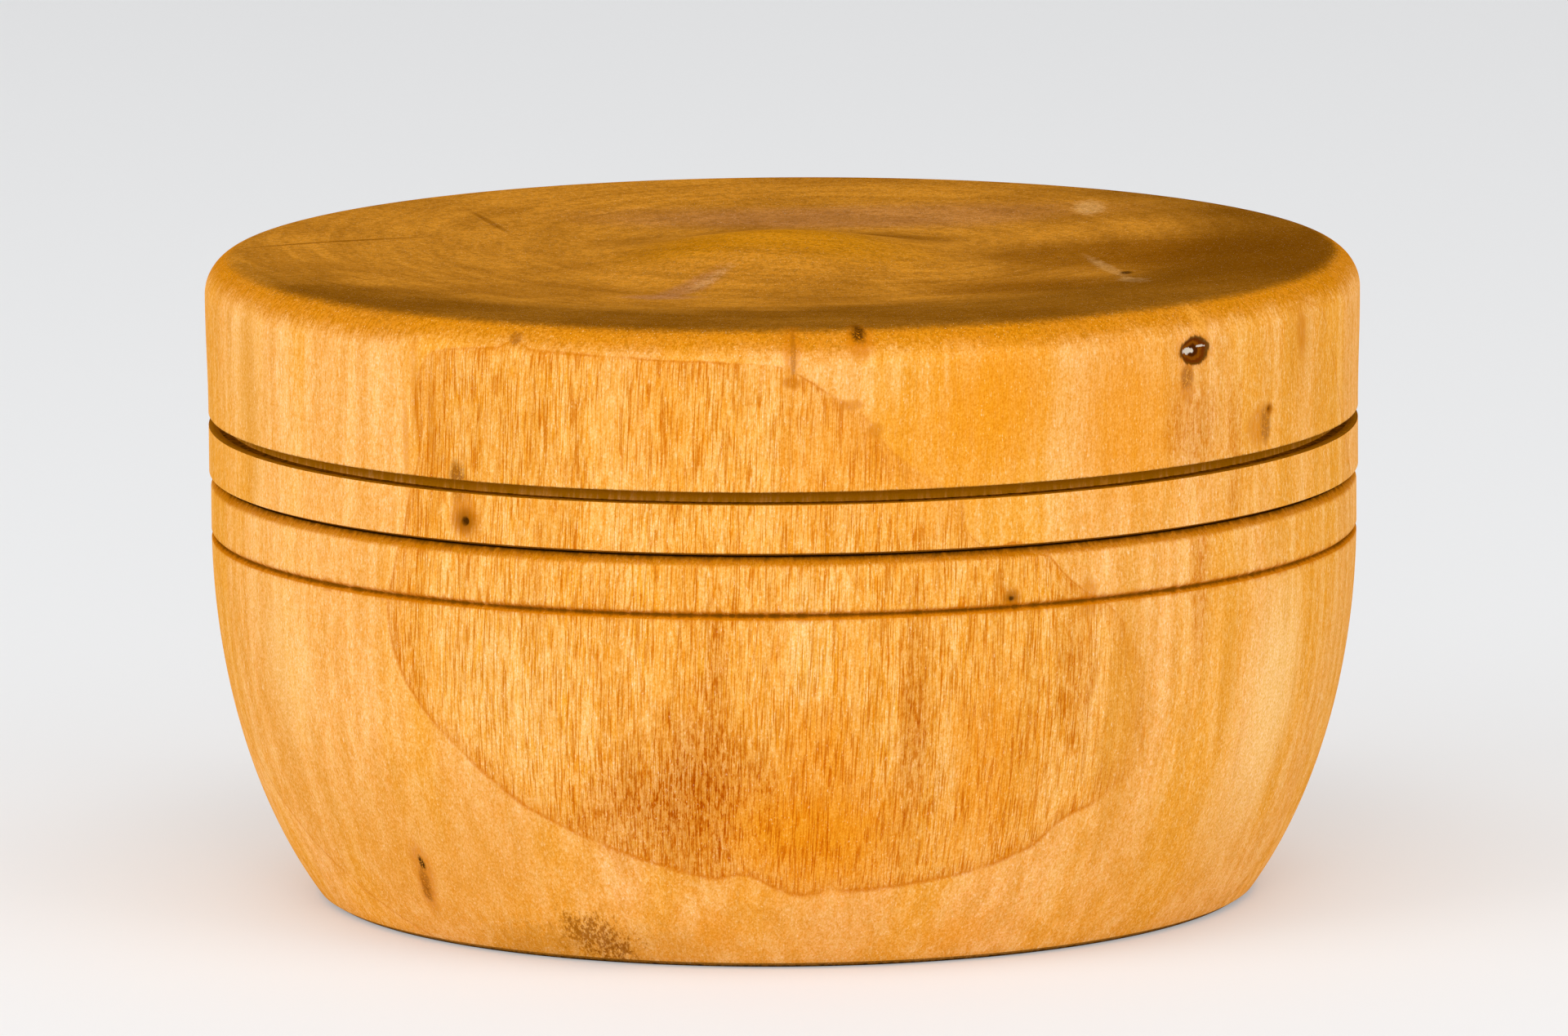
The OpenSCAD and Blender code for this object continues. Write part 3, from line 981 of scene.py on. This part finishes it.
def make_floor():
    """A paper sweep: flat under the bowl, then curving up behind it."""
    line = [(FLOOR_FRONT, 0), (FLOOR_BACK, 0)]
    line += [(FLOOR_BACK + SWEEP_R * math.sin(a), SWEEP_R * (1 - math.cos(a)))
             for a in steps(0, math.pi / 2, 16)][1:]
    line.append((FLOOR_BACK + SWEEP_R, SWEEP_R + WALL_H))
    verts = [(x * MM, y * MM, z * MM) for y, z in line for x in (-FLOOR_HALF_W, FLOOR_HALF_W)]
    faces = [(2 * i, 2 * i + 1, 2 * i + 3, 2 * i + 2) for i in range(len(line) - 1)]
    mesh = bpy.data.meshes.new("floor")
    mesh.from_pydata(verts, [], faces)
    mesh.shade_smooth()
    floor = bpy.data.objects.new("floor", mesh)
    bpy.context.scene.collection.objects.link(floor)
    paper = bpy.data.materials.new("paper")
    paper.use_nodes = True
    shader = paper.node_tree.nodes["Principled BSDF"]
    shader.inputs["Base Color"].default_value = (PAPER_GREY, PAPER_GREY, PAPER_GREY, 1)
    shader.inputs["Emission Color"].default_value = (1, 1, 1, 1)
    shader.inputs["Emission Strength"].default_value = PAPER_GLOW
    shader.inputs["Roughness"].default_value = 0.85
    shader.inputs["Specular IOR Level"].default_value = 0.1
    mesh.materials.append(paper)


def area_light(name, place, aim, width, height, watts):
    """A soft rectangular light at place, pointing at aim."""
    data = bpy.data.lights.new(name, "AREA")
    data.shape = "RECTANGLE"
    data.size, data.size_y = width, height
    data.energy = watts
    light = bpy.data.objects.new(name, data)
    light.location = place
    light.rotation_mode = "QUATERNION"
    light.rotation_quaternion = (Vector(aim) - Vector(place)).to_track_quat("-Z", "Y")
    bpy.context.scene.collection.objects.link(light)


def make_lights():
    """Two wide soft boxes in front, a fill behind the camera, one overhead and an even pale surround."""
    for light in LIGHTS:
        area_light(*light)
    world = bpy.data.worlds.new("surround")
    world.use_nodes = True
    background = world.node_tree.nodes["Background"]
    background.inputs["Color"].default_value = SURROUND_COLOUR
    background.inputs["Strength"].default_value = SURROUND_STRENGTH
    bpy.context.scene.world = world


# The camera's place in metres, and its angles in degrees.
CAMERA_DISTANCE, CAMERA_HEIGHT, CAMERA_PITCH, CAMERA_ROLL = 1.365, 0.248, 8.92, 0.42
LENS, SENSOR = 348.0, 36.0


def make_camera():
    """A long lens in front of the bowl, looking slightly down at it."""
    data = bpy.data.cameras.new("camera")
    data.lens, data.sensor_width = LENS, SENSOR
    data.clip_start, data.clip_end = 0.05, 20
    camera = bpy.data.objects.new("camera", data)
    tilt = Matrix.Rotation(math.radians(90 - CAMERA_PITCH), 4, "X")
    roll = Matrix.Rotation(math.radians(-CAMERA_ROLL), 4, "Z")
    camera.matrix_world = Matrix.Translation((0, -CAMERA_DISTANCE, CAMERA_HEIGHT)) @ tilt @ roll
    bpy.context.scene.collection.objects.link(camera)
    bpy.context.scene.camera = camera


make_floor()
make_lights()
make_camera()
bpy.context.scene.view_settings.view_transform = "Standard"
